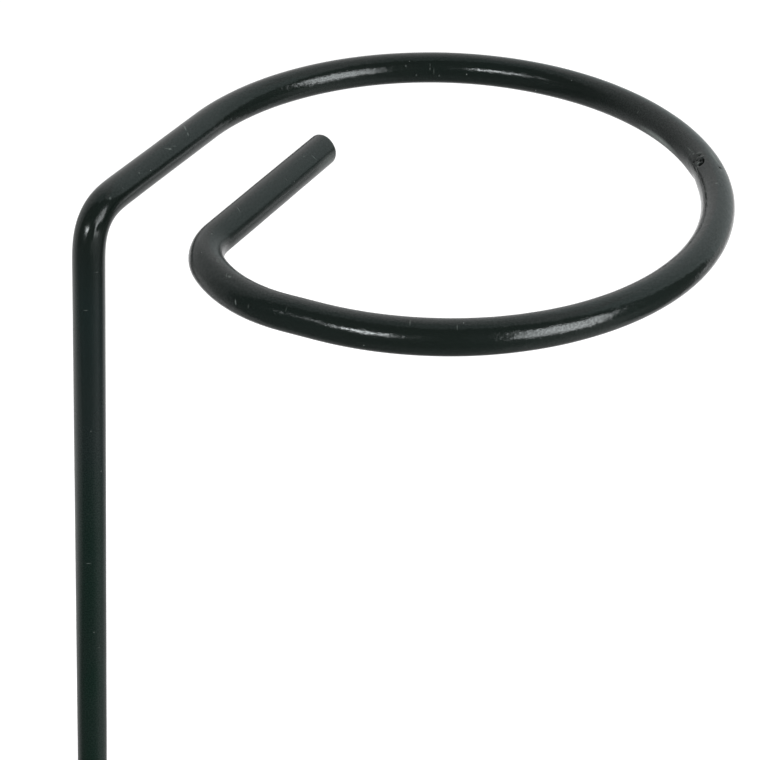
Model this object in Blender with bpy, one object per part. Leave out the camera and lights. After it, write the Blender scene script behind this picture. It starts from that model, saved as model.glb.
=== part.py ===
"""A single-stem plant support: one bent steel wire in a dark green plastic coating.

The wire is bent the way a wire bender works, in one run from the foot to the tip of the hook:
straight stake, stake bend, straight arm, open ring, short lead, two hook bends, straight hook end.
A stem slips in sideways between the arm and the hook end, and stands in the ring.

Frame: metres, +Z up the stake, origin at the centre of the stake's cut foot. The arm leaves the
stake towards +X, and the ring lies on the -Y side of the arm. The ring's plane holds the arm.
"""
import math

import bmesh
import bpy
from mathutils import Matrix, Vector

MM = 0.001

# The wire and its coating
CORE_DIAMETER = 3.8 * MM
BOND_GAP = 0.1 * MM  # between the steel and the plastic, at the side and at the blind end
COATING_WALL = 0.5 * MM
TIP_WALL = 1.2 * MM  # plastic beyond the end of the steel, at the tip of the hook
TIP_ROUNDING = 0.8 * MM  # radius from the coating's side to the flat of the tip
FOOT_CHAMFER = 0.15 * MM  # on the coating's outer edge, where the wire was cropped

# The bent shape, along the wire's centre line
STAKE_LENGTH = 394.0 * MM  # foot to the corner where the lines of stake and arm meet
STAKE_BEND_RADIUS = 7.1 * MM
STAKE_BEND_ANGLE = 83.0  # degrees; a square bend is 90, so the arm climbs 7 degrees
ARM_LENGTH = 33.0 * MM  # the same corner to the start of the ring
RING_BORE = 80.5 * MM  # inside diameter, coating to coating
RING_ANGLE = 266.8  # degrees of the circle that the ring covers
LEAD_LENGTH = 5.0 * MM  # straight wire between the ring and the hook
HOOK_SWEEP_RADIUS = 22.5 * MM
HOOK_SWEEP_ANGLE = 41.5
HOOK_BEND_RADIUS = 10.7 * MM
HOOK_LENGTH = 32.4 * MM  # straight hook end, from the last bend to the tip

# Finishes
COATING_COLOUR = "0d1c17"
COATING_ROUGHNESS = 0.2
STEEL_COLOUR = "8d8f90"
STEEL_ROUGHNESS = 0.35
SHARP_EDGE = 35.0  # degrees between faces, above which an edge stays sharp

# Facets
SIDES = 16  # round the wire
RING_STEP = 5.0  # degrees of turn between two cross-sections in the ring
BEND_STEP = 9.0  # the same in the tight bends
TIP_STEPS = 5  # cross-sections in the rounding of the tip

# Worked out from the sizes above
CORE_RADIUS = CORE_DIAMETER / 2
BORE_RADIUS = CORE_RADIUS + BOND_GAP
WIRE_RADIUS = BORE_RADIUS + COATING_WALL
RING_RADIUS = RING_BORE / 2 + WIRE_RADIUS
HOOK_BEND_ANGLE = 360.0 - RING_ANGLE - HOOK_SWEEP_ANGLE  # leaves the hook end parallel to the arm
CORNER_SETBACK = STAKE_BEND_RADIUS * math.tan(math.radians(STAKE_BEND_ANGLE / 2))

TOWARDS_ARM = Vector((1, 0, 0))  # in the wire's own cross-section, where +Z is along the wire
TOWARDS_RING = Vector((0, -1, 0))


def clear_scene():
    for leftover in list(bpy.data.objects):
        bpy.data.objects.remove(leftover, do_unlink=True)


def linear(hex_colour):
    """Turn an sRGB hex colour into the linear RGBA that a shader takes."""
    channels = [int(hex_colour[i:i + 2], 16) / 255 for i in (0, 2, 4)]
    return [c / 12.92 if c <= 0.04045 else ((c + 0.055) / 1.055) ** 2.4 for c in channels] + [1.0]


def finish(name, hex_colour, roughness, metallic):
    material = bpy.data.materials.new(name)
    material.use_nodes = True
    shader = material.node_tree.nodes["Principled BSDF"]
    shader.inputs["Base Color"].default_value = linear(hex_colour)
    shader.inputs["Roughness"].default_value = roughness
    shader.inputs["Metallic"].default_value = metallic
    material.diffuse_color = linear(hex_colour)
    return material


def feed(stations, length):
    """Run the wire straight on. A station is the frame of one cross-section, with +Z along the wire."""
    stations.append(stations[-1] @ Matrix.Translation((0, 0, length)))


def bend(stations, radius, angle, side, step):
    """Bend the wire through an angle in degrees, towards a side of its cross-section."""
    start = stations[-1]
    centre = Matrix.Translation(side * radius)
    axis = Vector((0, 0, 1)).cross(side)
    count = math.ceil(angle / step)
    for i in range(1, count + 1):
        turn = Matrix.Rotation(math.radians(angle * i / count), 4, axis)
        stations.append(start @ centre @ turn @ centre.inverted())


def wire_path(end_trim):
    """Return the cross-sections from the foot to the hook's tip, less end_trim at the tip."""
    stations = [Matrix.Identity(4)]
    feed(stations, STAKE_LENGTH - CORNER_SETBACK)
    bend(stations, STAKE_BEND_RADIUS, STAKE_BEND_ANGLE, TOWARDS_ARM, BEND_STEP)
    feed(stations, ARM_LENGTH - CORNER_SETBACK)
    bend(stations, RING_RADIUS, RING_ANGLE, TOWARDS_RING, RING_STEP)
    feed(stations, LEAD_LENGTH)
    bend(stations, HOOK_SWEEP_RADIUS, HOOK_SWEEP_ANGLE, TOWARDS_RING, BEND_STEP)
    bend(stations, HOOK_BEND_RADIUS, HOOK_BEND_ANGLE, TOWARDS_RING, BEND_STEP)
    feed(stations, HOOK_LENGTH - end_trim)
    return stations


def add_section(shape, station, radius, shift=0.0):
    """Add one ring of points round the wire, shifted along it from the station."""
    points = []
    for i in range(SIDES):
        angle = math.tau * i / SIDES
        local = Vector((radius * math.cos(angle), radius * math.sin(angle), shift))
        points.append(shape.verts.new(station @ local))
    return points


def bridge(shape, sections):
    """Skin each section to the next one."""
    for near, far in zip(sections, sections[1:]):
        for i in range(SIDES):
            j = (i + 1) % SIDES
            shape.faces.new((near[i], near[j], far[j], far[i]))


def solid(name, shape, material):
    """Close the shape's surface into a named object, shaded smooth along the wire."""
    bmesh.ops.recalc_face_normals(shape, faces=shape.faces)
    mesh = bpy.data.meshes.new(name)
    shape.to_mesh(mesh)
    shape.free()
    mesh.shade_smooth()
    mesh.set_sharp_from_angle(angle=math.radians(SHARP_EDGE))
    mesh.materials.append(material)
    piece = bpy.data.objects.new(name, mesh)
    bpy.context.scene.collection.objects.link(piece)
    return piece


def steel_core():
    """The bent wire, cropped square at both ends."""
    shape = bmesh.new()
    sections = [add_section(shape, station, CORE_RADIUS) for station in wire_path(TIP_WALL + BOND_GAP)]
    bridge(shape, sections)
    shape.faces.new(sections[0])
    shape.faces.new(sections[-1])
    return solid("steel_core", shape, finish("galvanised steel wire", STEEL_COLOUR, STEEL_ROUGHNESS, 1.0))


def rounded_tip(shape, tip):
    """Return the sections of the rounding, from the coating's side to the flat of the tip."""
    sections = []
    for i in range(TIP_STEPS + 1):
        angle = math.radians(90.0 * i / TIP_STEPS)
        radius = WIRE_RADIUS - TIP_ROUNDING * (1 - math.cos(angle))
        sections.append(add_section(shape, tip, radius, TIP_ROUNDING * (math.sin(angle) - 1)))
    return sections


def plastic_coating():
    """The sleeve over the wire: open and flush with the steel at the foot, blind and rounded at the tip."""
    shape = bmesh.new()
    path = wire_path(0.0)
    outside = [add_section(shape, path[0], WIRE_RADIUS - FOOT_CHAMFER)]
    outside.append(add_section(shape, path[0], WIRE_RADIUS, FOOT_CHAMFER))
    outside += [add_section(shape, station, WIRE_RADIUS) for station in path[1:-1]]
    outside += rounded_tip(shape, path[-1])
    bore = [add_section(shape, station, BORE_RADIUS) for station in wire_path(TIP_WALL)]
    bridge(shape, outside)
    bridge(shape, bore)
    bridge(shape, [outside[0], bore[0]])
    shape.faces.new(outside[-1])
    shape.faces.new(bore[-1])
    return solid("plastic_coating", shape, finish("dark green plastic", COATING_COLOUR, COATING_ROUGHNESS, 0.0))


clear_scene()
steel_core()
plastic_coating()
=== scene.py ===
"""The looks of the single-stem plant support: a bent wire in a smooth plastic coating, in studio light.

Sizes are in metres in the part's own frame: the stake stands on its foot at the origin, +Z is up, the
arm leaves towards +X and the ring lies on the -Y side of the arm. A place on the coating is given by its
distance along the wire from the foot, and by its angle round the wire. On the stake, an angle of 0 faces
+X and 90 faces +Y. Past the bends the angles are carried on along the wire, so that on the ring 180 faces
up and 270 faces the ring's middle.
"""
import math

import bmesh
import bpy
from mathutils import Euler, Matrix, Quaternion, Vector, noise


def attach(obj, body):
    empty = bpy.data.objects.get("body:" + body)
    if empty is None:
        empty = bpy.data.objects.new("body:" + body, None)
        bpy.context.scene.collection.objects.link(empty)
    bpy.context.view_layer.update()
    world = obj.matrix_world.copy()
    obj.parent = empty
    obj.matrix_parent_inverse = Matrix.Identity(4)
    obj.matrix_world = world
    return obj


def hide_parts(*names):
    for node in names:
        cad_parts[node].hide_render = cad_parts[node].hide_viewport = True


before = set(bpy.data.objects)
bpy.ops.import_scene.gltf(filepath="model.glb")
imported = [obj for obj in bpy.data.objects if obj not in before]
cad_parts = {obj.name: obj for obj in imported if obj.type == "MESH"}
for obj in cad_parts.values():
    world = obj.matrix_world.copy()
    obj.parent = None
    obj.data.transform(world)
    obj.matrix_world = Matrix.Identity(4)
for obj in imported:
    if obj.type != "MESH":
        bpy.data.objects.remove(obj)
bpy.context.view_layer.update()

MM = 0.001

# The wire and its coating
CORE_DIAMETER = 3.8 * MM
BOND_GAP = 0.1 * MM  # between the steel and the plastic
COATING_WALL = 0.5 * MM
BORE_RADIUS = CORE_DIAMETER / 2 + BOND_GAP
WIRE_RADIUS = BORE_RADIUS + COATING_WALL
TIP_WALL = 1.2 * MM  # plastic beyond the bore, at the tip of the hook
TIP_ROUNDING = 0.8 * MM  # radius from the coating's side to the flat of the tip
TIP_SLANT = 6.0  # degrees off square, as the wire was cropped before it was coated
FOOT_CHAMFER = 0.15 * MM  # on the coating's outer edge

# The bends, in one run from the foot to the tip of the hook
STAKE_LENGTH = 394.0 * MM  # foot to the corner where the lines of stake and arm meet
STAKE_BEND_LENGTH = 15.7 * MM  # of the wire that the whole bend takes up
STAKE_BEND_ANGLE = 83.0  # degrees; a square bend is 90, so the arm climbs 7 degrees
STAKE_BEND_EASE = 0.9  # how much sharper the middle of the bend is than its mean, as stiff wire bends
ARM_LENGTH = 33.0 * MM  # the same corner to the start of the ring
RING_BORE = 80.5 * MM  # inside diameter, coating to coating
RING_RADIUS = RING_BORE / 2 + WIRE_RADIUS
RING_ANGLE = 266.8  # degrees of the circle that the ring covers
LEAD_LENGTH = 5.0 * MM  # straight wire between the ring and the hook
HOOK_SWEEP_RADIUS = 22.5 * MM
HOOK_SWEEP_ANGLE = 41.5
HOOK_BEND_RADIUS = 10.7 * MM
HOOK_BEND_ANGLE = 360.0 - RING_ANGLE - HOOK_SWEEP_ANGLE  # leaves the hook end parallel to the arm
HOOK_LENGTH = 32.4 * MM  # straight hook end, from the last bend to the tip
TOWARDS_ARM = Vector((1, 0, 0))  # in the wire's own cross-section, where +Z is along the wire
TOWARDS_RING = Vector((0, -1, 0))

# The coating's thickness drifts along the wire: (millimetres from the foot, percent of the radius)
WALL_DRIFT = ((0, 2.1), (380, 1.6), (408, 0.5), (426, 2.0), (455, 4.2), (486, 3.9), (520, 0.2), (545, 2.2),
              (580, 3.2), (610, 5.6), (646, 5.6), (653, 2.0), (662, 3.2), (700, 3.2))
UNEVENNESS = 0.012 * MM  # height of the low swells that the extruder and the bending left
UNEVEN_LENGTH = 5.0 * MM

# A pit where a bubble in the coating broke open: a crooked groove round the bubble's torn skin
PIT_ALONG = 532.3 * MM
PIT_ANGLE = 218.5
PIT_HALF_LENGTH = 1.42 * MM  # from its middle to the bottom of the groove, along the wire
PIT_HALF_WIDTH = 0.62 * MM  # the same, round the wire
PIT_SQUARENESS = 2.5  # 2 would make it an ellipse
PIT_DEPTH = 0.3 * MM
GROOVE_WIDTH = 0.2  # share of the pit's half length and width
GROOVE_TURN = 0.35  # radians round the pit, from its far end to the deepest part of the groove
GROOVE_MOUTH = 0.35  # cosine of the angle from there at which the groove is half as deep
GROOVE_FADE = 5.0  # how quickly it fades there

# Dents: (millimetres along the wire, degrees round it, reach along and round it in millimetres,
# depth in millimetres, below zero where it stands out, and how dark it is painted from 0 to 1:
# dirt and painted shade in its hollow)
BEND_FOLDS = (
    (389.6, 230.5, 2.5, 1.2, 0.13, 0.0),
    (391.2, 236, 0.75, 0.3, -0.04, 0.0),
    (391.3, 216.5, 0.55, 1.05, -0.05, 0.0),
    (391.4, 228.5, 1.2, 0.4, -0.13, 0.0),
    (391.4, 232.5, 0.8, 0.38, 0.125, 0.0),
    (392.0, 207, 0.5, 0.7, -0.05, 0.0),
    (394.0, 226, 1.65, 0.65, 0.07, 0.0),
    (395.7, 217, 1.95, 1.2, -0.13, 0.0),
)
# The dark these give the pit's sunken middle, holes and cracks is dirt and painted shade in those hollows.
PIT_DENTS = (
    (530.6, 204, 0.15, 0.7, -0.03, 0.0),  # lips of the torn skin
    (531.95, 202.5, 0.12, 0.35, -0.04, 0.0),
    (531.5, 226, 1.2, 0.75, 0.06, 0.32),  # the sunken middle
    (532.8, 212, 0.5, 0.3, 0.14, 0.85),  # a hole at its far end, and the deepest part of that
    (532.75, 216, 0.2, 0.18, 0.15, 1.0),
    (531.6, 239, 0.3, 0.26, 0.09, 0.95),  # small holes
    (531.7, 230.2, 0.16, 0.16, 0.04, 0.7),
    (531.3, 208.5, 0.16, 0.32, 0.08, 1.0),  # cracks
    (532.1, 225, 0.16, 0.34, 0.1, 0.9),
    (533.6, 245, 1.1, 0.15, 0.05, 0.5),
    (533.2, 300, 1.8, 1.2, 0.15, 0.0),  # a dimple on the inner side of the ring
)
# The dark of these small holes is dirt and painted shade.
NICK_DENTS = (
    (535.8, 159, 0.25, 0.25, 0.08, 1.0),  # beside the pit, towards the outer side of the ring
    (536.1, 156.3, 0.18, 0.18, 0.06, 0.9),
)
TIP_DENTS = (
    (688.6, 226, 1.6, 1.0, 0.13, 0.0),  # where the coating set unevenly
    (688.6, 262, 1.2, 0.8, -0.08, 0.0),
)
DENTS = BEND_FOLDS + PIT_DENTS + NICK_DENTS + TIP_DENTS
DENT_EDGE = 3.0  # times a dent's reach, where it ends

# Facets of the skin
SIDES = 144  # round the wire
SECTION_STEP = 1.0 * MM  # between two cross-sections in the ring
PIT_STEP = 0.09 * MM  # the same at the pit and the nick
PIT_REACH = 4.0 * MM  # from the pit's middle to where the short steps end
BORE_STEP = 4.0 * MM  # between two cross-sections of the bore, which never shows
TIP_STEPS = 14  # cross-sections in the rounding of the tip
SHARP_EDGE = 35.0  # degrees between faces, above which an edge stays sharp

# Soft-edged marks: (millimetres along the wire, degrees round it, size across and along the wire in
# millimetres, degrees that it leans from straight across, and how strong it is)
# Some of these marks are painted light. The pale spots in the pit, at 529.9 to 533.0 mm and 202 to 227
# degrees, are painted glints. The long pale strips along the wire at 519.5, 532.5, 655.0 and 684.0 mm are
# painted reflections.
SCUFFS_AND_PAINTED_GLINTS = (
    # the stake and the arm
    (315.1, 245, 0.5, 0.2, 0, 0.5), (332.4, 207, 1.2, 0.2, -6, 0.6), (378.9, 204, 0.9, 0.2, -6, 0.5),
    (395.6, 222, 0.5, 0.5, 0, 0.5), (403.2, 221, 0.5, 0.4, 0, 0.5), (411.6, 210, 1.3, 0.2, -50, 0.5),
    (412.0, 218, 0.9, 0.5, -70, 0.8), (413.2, 219, 1.1, 0.2, -61, 0.4), (417.5, 214, 0.9, 0.3, 41, 0.8),
    (418.5, 185, 2.2, 0.35, 45, 1.0),
    # the far side of the ring
    (466.0, 237, 0.5, 0.5, 0, 0.4), (467.9, 274, 0.5, 0.4, 0, 0.4), (470.4, 250, 0.7, 0.3, 0, 0.4),
    (471.1, 260, 1.5, 0.2, 0, 0.4), (472.1, 277, 0.5, 0.4, 0, 0.5), (512.0, 237, 0.7, 0.3, 0, 0.4),
    # round the pit, with painted glints in it and painted reflections along the wire
    (519.5, 286, 15, 1.6, 90, 1.5), (528.2, 225, 2.3, 0.25, 87, 0.6), (529.3, 238, 1.5, 0.22, 8, 0.5),
    (529.9, 223, 0.6, 0.6, 0, 0.6), (530.7, 203, 1.4, 0.4, 32, 0.6), (531.9, 202, 0.8, 0.3, 0, 1.0),
    (532.5, 161, 8, 0.9, 86, 0.75), (532.5, 227.4, 0.4, 0.3, 0, 0.5), (533.0, 227, 0.55, 0.5, 0, 1.4),
    (533.9, 262.6, 2.8, 0.3, 88, 0.8), (541.2, 188, 0.6, 0.6, 0, 0.7),
    # the near side of the ring
    (604.1, 155, 1.1, 0.2, 2, 0.5), (610.4, 167, 1.3, 0.2, -3, 0.6),
    # the hook, with painted reflections along it at 655.0 and 684.0 mm
    (633.0, 111, 0.7, 0.35, -3, 0.3), (635.1, 106, 1.0, 0.35, -19, 1.0), (638.3, 168, 0.9, 0.5, -89, 0.7),
    (638.9, 166, 1.5, 0.2, -50, 0.5), (642.8, 187, 1.5, 0.6, -78, 0.3), (655.0, 129, 12, 1.1, 90, 0.9),
    (659.7, 196, 1.7, 0.25, 33, 0.5), (679.0, 200, 0.8, 0.25, -82, 0.4), (680.5, 225, 1.2, 0.25, -12, 0.5),
    (684.0, 275, 10, 2.8, 90, 0.4),
)
# This paler patch on one flank of the stake is a painted sheen, standing in for the reflection that
# brightens that flank.
PAINTED_FLANK_SHEEN = ((352, 130, 5.2, 120, 0, 0.35),)  # below the bend, on the side away from the ring
BEND_CRAZING = ((392, 231, 4.5, 18, 0, 0.14),)  # of the folds in the stake bend
PIT_HAZE = ((515, 262, 9, 36, 0, 1.0), (522, 262, 8, 25, 0, 1.6))  # a dull patch before the pit

# Changes along the wire: (millimetres from the foot where it starts and ends, value before and after)
STAKE_TINT_FADES = (322, 364, 0.0, 1.0)  # from the deep green of the lower stake
RING_TINT_STARTS = (378, 392, 0.0, 1.0)  # below the bend
ROUGHNESS_FALLS = (350, 392, 0.3, 0.15)  # the stake is duller, from soil and hands
ROUGHNESS_RISES = (628, 648, 0.0, 0.1)  # over the bends of the hook
ROUGHNESS_EASES = (652, 660, 0.0, -0.03)  # on the hook end
RIPPLES_START = (405, 435, 0.2, 1.0)  # along the arm
RIPPLES_FADE = (638, 652, 0.0, -0.8)  # over the bends of the hook

# Patterns of noise: (millimetres from grain to grain along each axis, and detail). One that changes a
# value then has the levels of the noise between which it does so, and the value before and after. The
# third size says nothing on the wire's map, which is flat.
PIGMENT_DRIFT = ((20.0, 20.0, 20.0), 2.0, (0.3, 0.7, -0.2, 0.2))
ROUGHNESS_DRIFT = ((6.0, 6.0, 6.0), 3.0, (0.3, 0.7, -0.02, 0.02))
PORES = ((0.28, 0.28, 1.0), 1.0, (0.35, 0.65, 0.76, 1.24))  # drawn coarser than real ones, to show
RIPPLES = ((0.35, 0.2, 1.0), 2.0)  # drawn coarser too
RIPPLE_PATCHES = ((1.2, 0.8, 1.0), 1.0, (0.35, 0.7, 0.3, 1.8))
RIPPLE_HEIGHT = 0.016 * MM

# Strewn marks: (millimetres along and round the wire to a cell, the reach of a mark as a share of its
# cell, and the share of the cells that have one). They are drawn coarser than real ones, to show.
HAIRLINES = ((1.2, 4.0), 0.1, 0.03)
DUST = ((1.3, 1.3), 0.09, 0.01)
DUST_HEIGHT = 0.05 * MM

# The coating's gloss and colours
PVC_IOR = 1.5
GLOSS_TINT = "f8feff"
CLEAN_SPECULAR = 0.5
# The gloss falls to this where the pit is darkened by dirt and painted shade.
DIRT_AND_SHADE_SPECULAR = 0.05
# A painted glint or painted reflection, and painted shade in the pit, add it too.
MARK_ROUGHNESS = 0.3  # what a scuff, a speck, haze or dirt adds
HAIRLINE_STRENGTH = 0.5
# The share that a scuff hides holds for the painted glints and painted reflections too.
SCUFF_AND_GLINT_COVER = 0.6  # share of the pigment that a scuff hides
LOWER_STAKE_GREEN = "00170f"
UPPER_STAKE_GREEN = "101a19"
RING_GREEN = "0e1512"
# The pale green of the painted sheen on the stake's flank
PAINTED_SHEEN_GREEN = "7a7e7c"
# The pale green of the scuffs, and of the painted glints and painted reflections among them
SCUFF_AND_GLINT_GREEN = "7a827e"
DUST_GREY = "8f9692"
# The black of dirt and of painted shade in the pit's hollows
DIRT_AND_SHADE_BLACK = "040605"

# The zinc on the steel
CRYSTAL_SIZE = 0.8 * MM
DARK_ZINC = "83878a"
PALE_ZINC = "9b9d9c"
DARK_ZINC_ROUGHNESS = 0.3
PALE_ZINC_ROUGHNESS = 0.45
TOOL_MARKS = ((0.12, 2.5, 2.5), 1.0)  # a pattern of noise as above, drawn out into lines
TOOL_MARK_DEPTH = 0.03 * MM

# The studio stands round the middle of the ring. Azimuth 0 is -Y and 90 is +X, in degrees. Its rugs and
# curtains are sheets of even brightness, which only the gloss sees.
RING_MIDDLE = Vector((32.8, -42.8, 398.0)) * MM
FAR = 2.3  # metres to the curtains, and to the far ends of the rugs
LOW = -9.8  # degrees of elevation where the curtains meet the floor
WORLD_GREY = "d2d2d2"
FLOOR_HEIGHT = -0.2 * MM
FLOOR_HALF_WIDTH = 12.0
FLOOR_WHITE = "e6e6e6"
FLOOR_ROUGHNESS = 0.9
FLOOR_LIFT = 0.5  # the light that the camera and the gloss see it give off by itself
SHADE_HEIGHT = 0.4 * MM
SHADE_RADIUS = 0.9
SHADE_SIDES = 64
SHADE_AZIMUTH = 80  # the way its middle is shifted from under the ring
SHADE_SHIFT = 0.04
SHADE_FADES = (0.05, 0.75, 0.2, 1.0)  # metres from its middle, and brightness before and after
RUG_HEIGHT = 0.8 * MM

# Rugs: (name, grey, and corners by azimuth and by nearest and farthest distance in metres)
RUGS = (
    ("edge_rug", "a8a8a8", ((-166, 0.1, FAR), (-148, 0.1, FAR))),
    ("left_rug", "707070", ((-148, 0.05, FAR), (-95, 0.05, FAR))),
    ("front_rug_near", "787878", ((-95, 0.05, 0.42), (-26, 0.05, 0.42))),
    ("front_rug_1", "606060", ((-95, 0.42, FAR), (-42, 0.42, FAR))),
    ("front_rug_2", "737373", ((-42, 0.42, FAR), (-26, 0.42, FAR))),
    ("front_rug_3", "949494", ((-26, 0.16, FAR), (-10, 0.26, FAR))),
    ("front_rug_4", "a9a9a9", ((-10, 0.26, FAR), (13, 0.44, FAR))),
    ("front_rug_5", "8a8a8a", ((13, 0.44, FAR), (24, 0.44, FAR))),
    ("front_rug_6", "6a6a6a", ((24, 0.44, FAR), (49, 0.44, FAR), (49.5, 0.44, 1.0), (55, 0.44, 1.0))),
    ("right_rug_1", "c4c4c4", ((55, 0.5, FAR), (66, 0.5, FAR))),
    ("right_rug_2", "dedede", ((66, 0.5, FAR), (76, 0.5, FAR))),
    ("rear_rug", "d4d4d4", ((152, 0.42, FAR), (194, 0.42, FAR))),
)

# Curtains: (name, colour, and corners by azimuth and by lower and upper elevation in degrees). The first
# pale wall starts at the slope of the front curtain.
FRONT_SLOPE = ((8, 50), (12, 40), (25, 32), (36, 22), (46, 12), (51, 2), (52, -2))
CURTAINS = (
    ("edge_curtain", "acacac", ((-166, LOW, 60), (-146, LOW, 71))),
    ("left_curtain", "666666", ((-146, LOW, 71), (-130, LOW, 76), (-95, LOW, 76))),
    ("front_curtain", "606060", ((-95, LOW, 76), (-10, LOW, 76), (-3, LOW, 71), (3, LOW, 62),
                                 *((azimuth, LOW, top) for azimuth, top in FRONT_SLOPE))),
    ("pale_wall_1", "cfd8d8", (*((azimuth, top, 64) for azimuth, top in FRONT_SLOPE), (58, -2, 60))),
    ("pale_wall_2", "dfe6e6", ((58, -2, 60), (114, -2, 58))),
    ("pale_wall_3", "e5e5e5", ((114, -2, 58), (148, -2, 56))),
    ("right_horizon", "e0e0e0", ((53, LOW, -2), (115, LOW, -2))),
    ("rear_horizon", "bfbfbf", ((115, LOW, -1), (194, LOW, -1))),
    ("ceiling", "a9afaf", ((-180, 62, 90), (-166, 60, 90), (-146, 71, 90), (-95, 77, 90), (10, 77, 90),
                           (40, 79, 90), (110, 78, 90), (150, 66, 90), (180, 62, 90))),
)
SHEET_STEP = 2.0  # degrees of azimuth between two columns of a rug's or a curtain's faces
SHEET_ROWS = 16  # of faces, from one long edge to the other

# Softboxes: (name, azimuth, elevation, distance in metres, width and height in degrees as seen from the
# ring, degrees that the far end in azimuth leans up, and radiance)
SOFTBOXES = (
    ("main_softbox", -18.6, 14.0, 1.93, 34.0, 43.0, -7, 4.15),
    ("main_softbox_middle", -18.0, 13.5, 1.9, 22.0, 26.0, -7, 1.5),
    ("small_softbox", -89.5, 16.8, 0.8, 17.5, 9.0, -15, 14.0),
    ("side_softbox", -104.5, 20.5, 0.82, 13.0, 5.0, -15, 2.4),
)

# The camera looks down on the ring from the stake's side
CAMERA_PLACE = Vector((-221.40, -157.34, 512.37)) * MM
CAMERA_TURN = (61.803, -3.689, -62.320)  # degrees about X, Y and Z
FOCAL_LENGTH = 91.61  # in millimetres, and so is the sensor's width
SENSOR_WIDTH = 36.0
NEAREST = 0.01  # metres from the camera at which its view starts, and at which it ends
FARTHEST = 60.0

# A Mix node also mixes numbers and vectors. These are the indices of the sockets that mix colours.
MIX_SHARE = 0
MIX_FIRST = 6
MIX_SECOND = 7
MIXED = 2


def linear(hex_colour):
    """Turn an sRGB hex colour into the linear RGBA that a shader takes."""
    channels = [int(hex_colour[i:i + 2], 16) / 255 for i in (0, 2, 4)]
    return [c / 12.92 if c <= 0.04045 else ((c + 0.055) / 1.055) ** 2.4 for c in channels] + [1.0]


def feed(tree, node, inputs):
    """Feed a node's inputs, each with a value or with another node's output."""
    for name, value in inputs.items():
        if isinstance(value, bpy.types.NodeSocket):
            tree.links.new(value, node.inputs[name])
        else:
            node.inputs[name].default_value = value


def add_node(tree, kind, inputs, output=0, **settings):
    """Add a shader node with its settings and inputs, and return one of its outputs."""
    node = tree.nodes.new("ShaderNode" + kind)
    for name, value in settings.items():
        setattr(node, name, value)
    feed(tree, node, inputs)
    return node.outputs[output]


def new_material(name):
    """Return a new material and its nodes, among them a Principled shader."""
    material = bpy.data.materials.new(name)
    material.use_nodes = True
    return material, material.node_tree


def marks(tree, wire_map, rows):
    """Soft-edged marks on the wire's map. Where they overlap, the strongest shows."""
    strongest = 0.0
    for along, degrees, across, length, lean, strength in rows:
        own_map = add_node(tree, "Mapping", {
            "Vector": wire_map,
            "Location": (along * MM, math.radians(degrees) * WIRE_RADIUS, 0.0),
            "Rotation": (0.0, 0.0, math.radians(lean)),
            "Scale": (length / 2 * MM, across / 2 * MM, 1.0),
        }, vector_type="TEXTURE")
        mark = add_node(tree, "TexGradient", {"Vector": own_map}, "Fac", gradient_type="SPHERICAL")
        mark = add_node(tree, "Math", {0: mark, 1: strength}, operation="MULTIPLY")
        strongest = add_node(tree, "Math", {0: strongest, 1: mark}, operation="MAXIMUM")
    return strongest


def strewn(tree, wire_map, cell, reach, share):
    """Strew soft spots over the wire's map: one to a cell, whose sides are given in millimetres, reaching
    over a part of it, and only in a share of the cells."""
    per_metre = (1 / (cell[0] * MM), 1 / (cell[1] * MM), 1.0)
    cells = add_node(tree, "Mapping", {"Vector": wire_map, "Scale": per_metre})
    away = add_node(tree, "TexVoronoi", {"Vector": cells, "Scale": 1.0}, voronoi_dimensions="2D")
    drawn = add_node(tree, "SeparateColor", {"Color": away.node.outputs["Color"]}, "Red")
    chosen = add_node(tree, "Math", {0: drawn, 1: share}, operation="LESS_THAN")
    strength = add_node(tree, "Math", {0: chosen, 1: drawn.node.outputs["Green"]}, operation="MULTIPLY")
    spot = add_node(tree, "MapRange", {"Value": away, "From Max": reach, "To Min": 1.0, "To Max": 0.0})
    return add_node(tree, "Math", {0: spot, 1: strength}, operation="MULTIPLY")


def grain(tree, where, sizes, detail):
    """A pattern of noise by where a point is, on the wire's map or in the solid."""
    per_metre = [1 / (size * MM) for size in sizes]
    scaled = add_node(tree, "Mapping", {"Vector": where, "Scale": per_metre})
    return add_node(tree, "TexNoise", {"Vector": scaled, "Scale": 1.0, "Detail": detail}, "Fac")


def patchy(tree, where, sizes, detail, change):
    """A value that eases from one number to another, and back, from patch to patch."""
    first, last, before, after = change
    level = grain(tree, where, sizes, detail)
    ease = {"Value": level, "From Min": first, "From Max": last, "To Min": before, "To Max": after}
    return add_node(tree, "MapRange", ease, interpolation_type="SMOOTHSTEP")


def along_wire(tree, wire_map, change):
    """A value that eases from one number to another over a stretch of the wire."""
    first, last, before, after = change
    along = add_node(tree, "SeparateXYZ", {"Vector": wire_map}, "X")
    ease = {"Value": along, "From Min": first * MM, "From Max": last * MM, "To Min": before, "To Max": after}
    return add_node(tree, "MapRange", ease, interpolation_type="SMOOTHSTEP")


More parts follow.
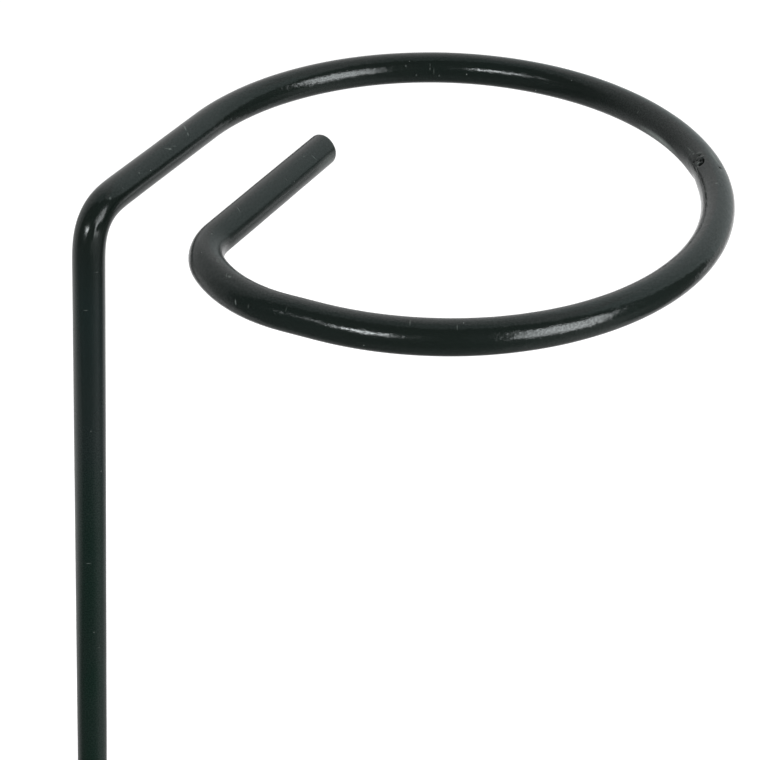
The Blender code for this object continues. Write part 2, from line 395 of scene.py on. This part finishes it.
def coating_colour(tree, wire_map, solid, scuffs_and_glints, dust, dirt_and_shade):
    """The pigment, greener down the stake, under a painted sheen on one flank, scuffs with painted glints
    and painted reflections among them, dust, and dirt with painted shade in the pit.
    """
    drift = patchy(tree, solid, *PIGMENT_DRIFT)
    colour = linear(LOWER_STAKE_GREEN)
    for change, green in ((STAKE_TINT_FADES, UPPER_STAKE_GREEN), (RING_TINT_STARTS, RING_GREEN)):
        share = add_node(tree, "Math", {0: along_wire(tree, wire_map, change), 1: drift}, operation="ADD")
        colour = add_node(tree, "Mix", {MIX_SHARE: share, MIX_FIRST: colour, MIX_SECOND: linear(green)},
                          MIXED, data_type="RGBA")
    # A painted sheen on one flank of the stake
    painted_sheen = marks(tree, wire_map, PAINTED_FLANK_SHEEN)
    scuffed_and_glinting = add_node(tree, "Math", {0: scuffs_and_glints, 1: SCUFF_AND_GLINT_COVER}, operation="MULTIPLY")
    covers = ((painted_sheen, PAINTED_SHEEN_GREEN), (scuffed_and_glinting, SCUFF_AND_GLINT_GREEN), (dust, DUST_GREY), (dirt_and_shade, DIRT_AND_SHADE_BLACK))
    for share, cover in covers:
        colour = add_node(tree, "Mix", {MIX_SHARE: share, MIX_FIRST: colour, MIX_SECOND: linear(cover)},
                          MIXED, data_type="RGBA")
    return colour


def coating_specular(tree, wire_map, dirt_and_shade):
    """The strength of the gloss, which dirt, painted shade and crazing take away and the pores mottle."""
    ease = {"Value": dirt_and_shade, "To Min": CLEAN_SPECULAR, "To Max": DIRT_AND_SHADE_SPECULAR}
    clean = add_node(tree, "MapRange", ease, interpolation_type="SMOOTHSTEP")
    sound = add_node(tree, "Math", {0: clean, 1: marks(tree, wire_map, BEND_CRAZING)}, operation="SUBTRACT")
    return add_node(tree, "Math", {0: sound, 1: patchy(tree, wire_map, *PORES)}, operation="MULTIPLY")


def coating_roughness(tree, wire_map, solid, scuffs_and_glints, dust, dirt_and_shade):
    """The blur of the gloss, by where the wire was handled and bent, and duller at every mark."""
    roughness = patchy(tree, solid, *ROUGHNESS_DRIFT)
    for change in (ROUGHNESS_FALLS, ROUGHNESS_RISES, ROUGHNESS_EASES):
        part = along_wire(tree, wire_map, change)
        roughness = add_node(tree, "Math", {0: roughness, 1: part}, operation="ADD")
    dull = marks(tree, wire_map, PIT_HAZE)
    for mark in (scuffs_and_glints, dust, dirt_and_shade):
        dull = add_node(tree, "Math", {0: dull, 1: mark}, operation="MAXIMUM")
    return add_node(tree, "Math", {0: dull, 1: MARK_ROUGHNESS, 2: roughness}, operation="MULTIPLY_ADD")


def coating_relief(tree, wire_map, dust):
    """Ripples that rolling the ring left along it, steeper in patches, and specks of dust on them."""
    start = along_wire(tree, wire_map, RIPPLES_START)
    fade = along_wire(tree, wire_map, RIPPLES_FADE)
    rolled = add_node(tree, "Math", {0: start, 1: fade}, operation="ADD")
    ripples = grain(tree, wire_map, *RIPPLES)
    patches = patchy(tree, wire_map, *RIPPLE_PATCHES)
    height = add_node(tree, "Math", {0: ripples, 1: patches}, operation="MULTIPLY")
    height = add_node(tree, "Math", {0: height, 1: rolled}, operation="MULTIPLY")
    rippled = add_node(tree, "Bump", {"Height": height, "Distance": RIPPLE_HEIGHT})
    return add_node(tree, "Bump", {"Height": dust, "Normal": rippled, "Distance": DUST_HEIGHT})


def coating_plastic():
    """Plasticised PVC, extruded over the wire and bent with it: a nearly black green under a clear gloss,
    which fine ripples and the marks of handling break up, with painted glints, painted reflections, a
    painted sheen and painted shade among those marks. The stake is duller and greener."""
    material, tree = new_material("dark green PVC coating")
    wire_map = add_node(tree, "UVMap", {}, uv_map="wire")
    solid = add_node(tree, "TexCoord", {}, "Object")
    # The pit's dirt and painted shade, carried on the mesh
    dirt_and_shade = add_node(tree, "Attribute", {}, "Fac", attribute_name="dirt_and_shade")
    dust = strewn(tree, wire_map, *DUST)
    hairlines = strewn(tree, wire_map, *HAIRLINES)
    hairlines = add_node(tree, "Math", {0: hairlines, 1: HAIRLINE_STRENGTH}, operation="MULTIPLY")
    # These marks hold painted glints and painted reflections as well as scuffs.
    scuffs_and_glints = add_node(tree, "Math", {0: hairlines, 1: marks(tree, wire_map, SCUFFS_AND_PAINTED_GLINTS)}, operation="MAXIMUM")
    feed(tree, tree.nodes["Principled BSDF"], {
        "IOR": PVC_IOR,
        "Specular Tint": linear(GLOSS_TINT),
        "Base Color": coating_colour(tree, wire_map, solid, scuffs_and_glints, dust, dirt_and_shade),
        "Specular IOR Level": coating_specular(tree, wire_map, dirt_and_shade),
        "Roughness": coating_roughness(tree, wire_map, solid, scuffs_and_glints, dust, dirt_and_shade),
        "Normal": coating_relief(tree, wire_map, dust),
    })
    return material


def galvanised_steel():
    """Drawn mild steel wire, hot-dip galvanised and cropped square: grey zinc with pale and dark
    crystals, and parallel tool marks on the cropped end."""
    material, tree = new_material("galvanised steel wire")
    solid = add_node(tree, "TexCoord", {}, "Object")
    crystals = add_node(tree, "TexVoronoi", {"Vector": solid, "Scale": 1 / CRYSTAL_SIZE}, "Color")
    tone = add_node(tree, "SeparateColor", {"Color": crystals}, "Red")
    zinc = {MIX_SHARE: tone, MIX_FIRST: linear(DARK_ZINC), MIX_SECOND: linear(PALE_ZINC)}
    roughness = {"Value": tone, "To Min": DARK_ZINC_ROUGHNESS, "To Max": PALE_ZINC_ROUGHNESS}
    relief = {"Height": grain(tree, solid, *TOOL_MARKS), "Distance": TOOL_MARK_DEPTH}
    feed(tree, tree.nodes["Principled BSDF"], {
        "Metallic": 1.0,
        "Base Color": add_node(tree, "Mix", zinc, MIXED, data_type="RGBA"),
        "Roughness": add_node(tree, "MapRange", roughness, interpolation_type="SMOOTHSTEP"),
        "Normal": add_node(tree, "Bump", relief),
    })
    return material


def run_straight(stations, length, step):
    """Run the wire straight on. A station is the frame of one cross-section, with +Z along the wire."""
    start = stations[-1]
    count = math.ceil(length / step)
    for i in range(1, count + 1):
        stations.append(start @ Matrix.Translation((0, 0, length * i / count)))


def bend(stations, radius, angle, side, step):
    """Bend the wire through an angle in degrees, towards a side of its cross-section."""
    start = stations[-1]
    centre = Matrix.Translation(side * radius)
    axis = Vector((0, 0, 1)).cross(side)
    count = math.ceil(math.radians(angle) * radius / step)
    for i in range(1, count + 1):
        turn = Matrix.Rotation(math.radians(angle * i / count), 4, axis)
        stations.append(start @ centre @ turn @ centre.inverted())


def stake_bend(stations, step):
    """Bend the stake towards the arm, gently at first and at last, in short arcs of one length."""
    count = math.ceil(STAKE_BEND_LENGTH / step)
    arc = STAKE_BEND_LENGTH / count
    for i in range(count):
        turn = STAKE_BEND_ANGLE / count * (1 - STAKE_BEND_EASE * math.cos(math.tau * (i + 0.5) / count))
        bend(stations, arc / math.radians(turn), turn, TOWARDS_ARM, 2 * arc)  # each arc in one step


def corner_setback(step):
    """Distance from the ends of the stake bend to the corner where the lines of stake and arm meet."""
    trial = [Matrix.Identity(4)]
    stake_bend(trial, step)
    return trial[-1].translation.x / math.sin(math.radians(STAKE_BEND_ANGLE))


def wire_path(end_trim, step, pit_step):
    """Return the cross-sections from the foot to the hook's tip, less end_trim at the tip. They are wider
    apart on the stake, and closer together in the bends and at the pit in the ring."""
    bend_step = step / 4
    setback = corner_setback(bend_step)
    stations = [Matrix.Identity(4)]
    run_straight(stations, STAKE_LENGTH - setback, 4 * step)
    stake_bend(stations, bend_step)
    run_straight(stations, ARM_LENGTH - setback, step)
    to_pit = math.degrees((PIT_ALONG - PIT_REACH - distances(stations)[-1]) / RING_RADIUS)
    over_pit = math.degrees(2 * PIT_REACH / RING_RADIUS)
    bend(stations, RING_RADIUS, to_pit, TOWARDS_RING, step)
    bend(stations, RING_RADIUS, over_pit, TOWARDS_RING, pit_step)
    bend(stations, RING_RADIUS, RING_ANGLE - to_pit - over_pit, TOWARDS_RING, step)
    run_straight(stations, LEAD_LENGTH, step)
    bend(stations, HOOK_SWEEP_RADIUS, HOOK_SWEEP_ANGLE, TOWARDS_RING, step)
    bend(stations, HOOK_BEND_RADIUS, HOOK_BEND_ANGLE, TOWARDS_RING, step / 2)
    run_straight(stations, HOOK_LENGTH - end_trim, step)
    return stations


def distances(stations):
    """Distance along the wire from the foot to each cross-section."""
    along = [0.0]
    for near, far in zip(stations, stations[1:]):
        along.append(along[-1] + (far.translation - near.translation).length)
    return along


def wall_drift(along):
    """The share by which the coating is thicker or thinner than its nominal radius, eased from one
    named place to the next."""
    for (near, low), (far, high) in zip(WALL_DRIFT, WALL_DRIFT[1:]):
        if along <= far * MM:
            way = (along / MM - near) / (far - near)
            ease = way * way * (3 - 2 * way)
            return (low + (high - low) * ease) / 100
    return WALL_DRIFT[-1][1] / 100


def hump(distance, reach):
    """A smooth rise, from 0 far off to 1 in the middle."""
    return math.exp(-(distance / reach) ** 2)


def beside(along, angle, middle, degrees):
    """Distances along and round the wire, from a mark's middle to a place on the coating."""
    turn = (angle - math.radians(degrees) + math.pi) % math.tau - math.pi
    return along - middle, turn * WIRE_RADIUS


def pit_groove(along, angle):
    """How deep a place lies in the crooked groove round the burst bubble, from 0 to 1. The groove is
    deepest at the far end and open towards the foot."""
    if abs(along - PIT_ALONG) > PIT_REACH:
        return 0.0
    ahead, sideways = beside(along, angle, PIT_ALONG, PIT_ANGLE)
    ahead, sideways = ahead / PIT_HALF_LENGTH, sideways / PIT_HALF_WIDTH
    out = (abs(ahead) ** PIT_SQUARENESS + abs(sideways) ** PIT_SQUARENESS) ** (1 / PIT_SQUARENESS)
    facing = math.cos(math.atan2(sideways, ahead) + GROOVE_TURN)
    return hump(out - 1, GROOVE_WIDTH) * (1 + math.tanh(GROOVE_FADE * (facing - GROOVE_MOUTH))) / 2


def dents(along, angle):
    """How far a place is dented, and how dark it is painted there, by dirt and painted shade."""
    depth = dirt_and_shade = 0.0
    for middle, degrees, length, width, sunk, dirt_and_shade_share in DENTS:
        ahead, sideways = beside(along, angle, middle * MM, degrees)
        if abs(ahead) < DENT_EDGE * length * MM and abs(sideways) < DENT_EDGE * width * MM:
            share = hump(ahead, length * MM) * hump(sideways, width * MM)
            depth += sunk * MM * share
            dirt_and_shade = max(dirt_and_shade, dirt_and_shade_share * share)
    return depth, dirt_and_shade


def surface(along, angle):
    """The coating's outer radius at one place, and how dark it is painted there, by dirt and painted shade,
    from 0 to 1.
    """
    swell = noise.noise(Vector((math.cos(angle), math.sin(angle), along / UNEVEN_LENGTH)))
    groove = pit_groove(along, angle)
    depth, dirt_and_shade = dents(along, angle)
    radius = WIRE_RADIUS * (1 + wall_drift(along)) + UNEVENNESS * swell - depth - PIT_DEPTH * groove
    # The pit's groove is painted dark as well: painted shade in it.
    return radius, max(dirt_and_shade, groove)


class Skin:
    """The coating's surface under construction. Its UV map is in metres: along the wire, and round it."""

    def __init__(self):
        self.shape = bmesh.new()
        self.uv = self.shape.loops.layers.uv.new("wire")
        # This layer carries the pit's dirt and painted shade.
        self.dirt_and_shade = self.shape.verts.layers.float.new("dirt_and_shade")

    def section(self, station, along, radii, shift=0.0, slant=0.0):
        """Add one ring of points by their radii, shifted along the wire from the station and slanted.
        Return it with its distance along the wire."""
        points = []
        for i, radius in enumerate(radii):
            angle = math.tau * i / SIDES
            x, y = radius * math.cos(angle), radius * math.sin(angle)
            points.append(self.shape.verts.new(station @ Vector((x, y, shift + slant * y))))
        return points, along + shift

    def outer_section(self, station, along, inset=0.0, shift=0.0, slant=0.0):
        """Add a section of the outside, drawn in by the inset, with the dirt and painted shade that darken
        it.
        """
        places = [surface(along, math.tau * i / SIDES) for i in range(SIDES)]
        radii = [radius - inset for radius, _ in places]
        points, section_along = self.section(station, along, radii, shift, slant)
        for point, (_, dirt_and_shade) in zip(points, places):
            point[self.dirt_and_shade] = dirt_and_shade
        return points, section_along

    def bore_section(self, station, along):
        """Add a section of the bore, which is plain and round."""
        return self.section(station, along, [BORE_RADIUS] * SIDES)

    def bridge(self, sections):
        """Skin each section to the next one."""
        for (near, near_along), (far, far_along) in zip(sections, sections[1:]):
            for i in range(SIDES):
                j = (i + 1) % SIDES
                face = self.shape.faces.new((near[i], near[j], far[j], far[i]))
                corners = ((i, near_along), (i + 1, near_along), (i + 1, far_along), (i, far_along))
                for loop, (side, along) in zip(face.loops, corners):
                    loop[self.uv].uv = (along, math.tau * WIRE_RADIUS * side / SIDES)

    def cap(self, section):
        """Close an end with one face, which is a single point on the map."""
        points, along = section
        face = self.shape.faces.new(points)
        for loop in face.loops:
            loop[self.uv].uv = (along, 0.0)

    def finish(self, name, material):
        """Close the surface into a named object, shaded smooth along the wire."""
        bmesh.ops.recalc_face_normals(self.shape, faces=self.shape.faces)
        mesh = bpy.data.meshes.new(name)
        self.shape.to_mesh(mesh)
        self.shape.free()
        mesh.shade_smooth()
        mesh.set_sharp_from_angle(angle=math.radians(SHARP_EDGE))
        mesh.materials.append(material)
        piece = bpy.data.objects.new(name, mesh)
        bpy.context.scene.collection.objects.link(piece)
        return piece


def rounded_tip(skin, tip, along):
    """Return the sections of the rounding, from the coating's side to the slanted flat of the tip."""
    slant = math.tan(math.radians(TIP_SLANT))
    sections = []
    for i in range(TIP_STEPS + 1):
        angle = math.radians(90.0 * i / TIP_STEPS)
        inset = TIP_ROUNDING * (1 - math.cos(angle))
        sections.append(skin.outer_section(tip, along, inset, TIP_ROUNDING * (math.sin(angle) - 1), slant))
    return sections


def coating_skin():
    """The coating as it shows, with its bore: open at the foot, blind and rounded at the tip."""
    skin = Skin()
    path = wire_path(0.0, SECTION_STEP, PIT_STEP)
    along = distances(path)
    side_end = along[-1] - 2 * TIP_ROUNDING
    outside = [skin.outer_section(path[0], 0.0, inset=FOOT_CHAMFER)]
    outside.append(skin.outer_section(path[0], 0.0, shift=FOOT_CHAMFER))
    outside += [skin.outer_section(station, at) for station, at in zip(path, along) if 0 < at < side_end]
    outside += rounded_tip(skin, path[-1], along[-1])
    inner = wire_path(TIP_WALL, BORE_STEP, BORE_STEP)
    bore = [skin.bore_section(station, at) for station, at in zip(inner, distances(inner))]
    skin.bridge(outside)
    skin.bridge(bore)
    skin.bridge([outside[0], bore[0]])
    skin.cap(outside[-1])
    skin.cap(bore[-1])
    return skin.finish("coating_skin", coating_plastic())


def towards(azimuth, elevation):
    """Direction from the middle of the ring."""
    azimuth, elevation = math.radians(azimuth), math.radians(elevation)
    level = Vector((math.sin(azimuth), -math.cos(azimuth), 0.0))
    return level * math.cos(elevation) + Vector((0.0, 0.0, math.sin(elevation)))


def stage_piece(name, shape, material):
    """Make a piece of the studio, which is no part of the object."""
    mesh = bpy.data.meshes.new(name)
    shape.to_mesh(mesh)
    shape.free()
    mesh.materials.append(material)
    piece = bpy.data.objects.new(name, mesh)
    bpy.context.scene.collection.objects.link(piece)
    return piece


def seen_in_gloss_only(piece):
    """Leave a piece of the studio to the reflections: it neither shows, nor lights or shades anything."""
    piece.visible_camera = False
    piece.visible_diffuse = False
    piece.visible_shadow = False
    piece.visible_transmission = False


def even_light(name, colour):
    """A surface that is as bright as its colour, lit or not."""
    material, tree = new_material(name)
    light = add_node(tree, "Emission", {"Color": linear(colour), "Strength": 1.0})
    feed(tree, tree.nodes["Material Output"], {"Surface": light})
    return material


def matt_white_paint():
    """Matt emulsion on a smooth floor: an even white with no gloss of its own. The camera and the gloss
    of the coating see it a little brighter than the lamps make it."""
    material, tree = new_material("white floor")
    paint = tree.nodes["Principled BSDF"]
    feed(tree, paint, {"Base Color": linear(FLOOR_WHITE), "Roughness": FLOOR_ROUGHNESS,
                       "Specular IOR Level": 0.0})
    seen = add_node(tree, "LightPath", {}, "Is Camera Ray")
    rays = seen.node.outputs
    for ray in (rays["Is Glossy Ray"], rays["Is Transmission Ray"]):
        seen = add_node(tree, "Math", {0: seen, 1: ray}, operation="MAXIMUM")
    strength = add_node(tree, "Math", {0: seen, 1: FLOOR_LIFT}, operation="MULTIPLY")
    light = add_node(tree, "Emission", {"Color": linear("ffffff"), "Strength": strength})
    both = add_node(tree, "AddShader", {0: paint.outputs[0], 1: light})
    feed(tree, tree.nodes["Material Output"], {"Surface": both})
    return material


def floor():
    shape = bmesh.new()
    bmesh.ops.create_grid(shape, x_segments=1, y_segments=1, size=FLOOR_HALF_WIDTH)
    stage_piece("floor", shape, matt_white_paint()).location.z = FLOOR_HEIGHT


def floor_shade():
    """The floor in the object's own shade, which only the gloss sees: dark under the ring, and fading
    into the white floor."""
    material, tree = new_material("shaded floor")
    solid = add_node(tree, "TexCoord", {}, "Object")
    away = add_node(tree, "VectorMath", {0: solid}, "Value", operation="LENGTH")
    first, last, before, after = SHADE_FADES
    fade = {"Value": away, "From Min": first, "From Max": last, "To Min": before, "To Max": after}
    tone = add_node(tree, "MapRange", fade)
    light = add_node(tree, "Emission", {"Color": linear("ffffff"), "Strength": tone})
    feed(tree, tree.nodes["Material Output"], {"Surface": light})
    shape = bmesh.new()
    bmesh.ops.create_circle(shape, cap_ends=True, segments=SHADE_SIDES, radius=SHADE_RADIUS)
    disc = stage_piece("floor_shade", shape, material)
    middle = towards(SHADE_AZIMUTH, 0) * SHADE_SHIFT
    disc.location = (RING_MIDDLE.x + middle.x, RING_MIDDLE.y + middle.y, SHADE_HEIGHT)
    seen_in_gloss_only(disc)


def between(corners, azimuth):
    """The two values at an azimuth, on straight runs from one corner to the next."""
    for near, far in zip(corners, corners[1:]):
        if azimuth <= far[0]:
            share = (azimuth - near[0]) / (far[0] - near[0])
            return near[1] + (far[1] - near[1]) * share, near[2] + (far[2] - near[2]) * share
    return corners[-1][1:]


def sheet(name, colour, corners, find_point):
    """A sheet of even brightness that only the gloss sees. Its corners give an azimuth and two values,
    from one long edge to the other, and find_point takes an azimuth and one such value."""
    shape = bmesh.new()
    columns = []
    first, last = corners[0][0], corners[-1][0]
    count = math.ceil((last - first) / SHEET_STEP)
    for i in range(count + 1):
        azimuth = first + (last - first) * i / count
        low, high = between(corners, azimuth)
        values = [low + (high - low) * k / SHEET_ROWS for k in range(SHEET_ROWS + 1)]
        columns.append([shape.verts.new(find_point(azimuth, value)) for value in values])
    for near, far in zip(columns, columns[1:]):
        for k in range(SHEET_ROWS):
            shape.faces.new((near[k], far[k], far[k + 1], near[k + 1]))
    seen_in_gloss_only(stage_piece(name, shape, even_light(name, colour)))


def on_floor(azimuth, distance):
    return Vector((RING_MIDDLE.x, RING_MIDDLE.y, RUG_HEIGHT)) + towards(azimuth, 0) * distance


def on_curtain(azimuth, elevation):
    return RING_MIDDLE + towards(azimuth, elevation) * FAR


def softbox(name, azimuth, elevation, distance, width, height, lean, radiance):
    """A rectangular lamp that faces the ring."""
    lamp = bpy.data.lights.new(name, "AREA")
    lamp.shape = "RECTANGLE"
    lamp.size = 2 * distance * math.tan(math.radians(width / 2))
    lamp.size_y = 2 * distance * math.tan(math.radians(height / 2))
    lamp.energy = radiance * 4 * lamp.size * lamp.size_y  # its radiance is its watts over 4 areas
    box = bpy.data.objects.new(name, lamp)
    box.location = RING_MIDDLE + towards(azimuth, elevation) * distance
    facing = towards(azimuth, elevation).to_track_quat("Z", "Y")
    box.rotation_euler = (facing @ Quaternion((0, 0, 1), math.radians(lean))).to_euler()
    bpy.context.scene.collection.objects.link(box)


def pale_world():
    world = bpy.data.worlds.new("pale studio")
    world.use_nodes = True
    tree = world.node_tree
    feed(tree, tree.nodes["Background"], {"Color": linear(WORLD_GREY), "Strength": 1.0})
    bpy.context.scene.world = world


def studio():
    floor()
    floor_shade()
    for name, colour, corners in RUGS:
        sheet(name, colour, corners, on_floor)
    for name, colour, corners in CURTAINS:
        sheet(name, colour, corners, on_curtain)
    for settings in SOFTBOXES:
        softbox(*settings)
    pale_world()


def camera():
    lens = bpy.data.cameras.new("camera")
    lens.lens = FOCAL_LENGTH
    lens.sensor_width = SENSOR_WIDTH
    lens.clip_start = NEAREST
    lens.clip_end = FARTHEST
    eye = bpy.data.objects.new("camera", lens)
    eye.location = CAMERA_PLACE
    eye.rotation_euler = Euler([math.radians(turn) for turn in CAMERA_TURN], "XYZ")
    bpy.context.scene.collection.objects.link(eye)
    bpy.context.scene.camera = eye


skin = coating_skin()
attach(skin, "root")
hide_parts("plastic_coating")
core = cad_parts["steel_core"]
core.data.materials.clear()
core.data.materials.append(galvanised_steel())
studio()
camera()
bpy.context.scene.view_settings.view_transform = "Standard"
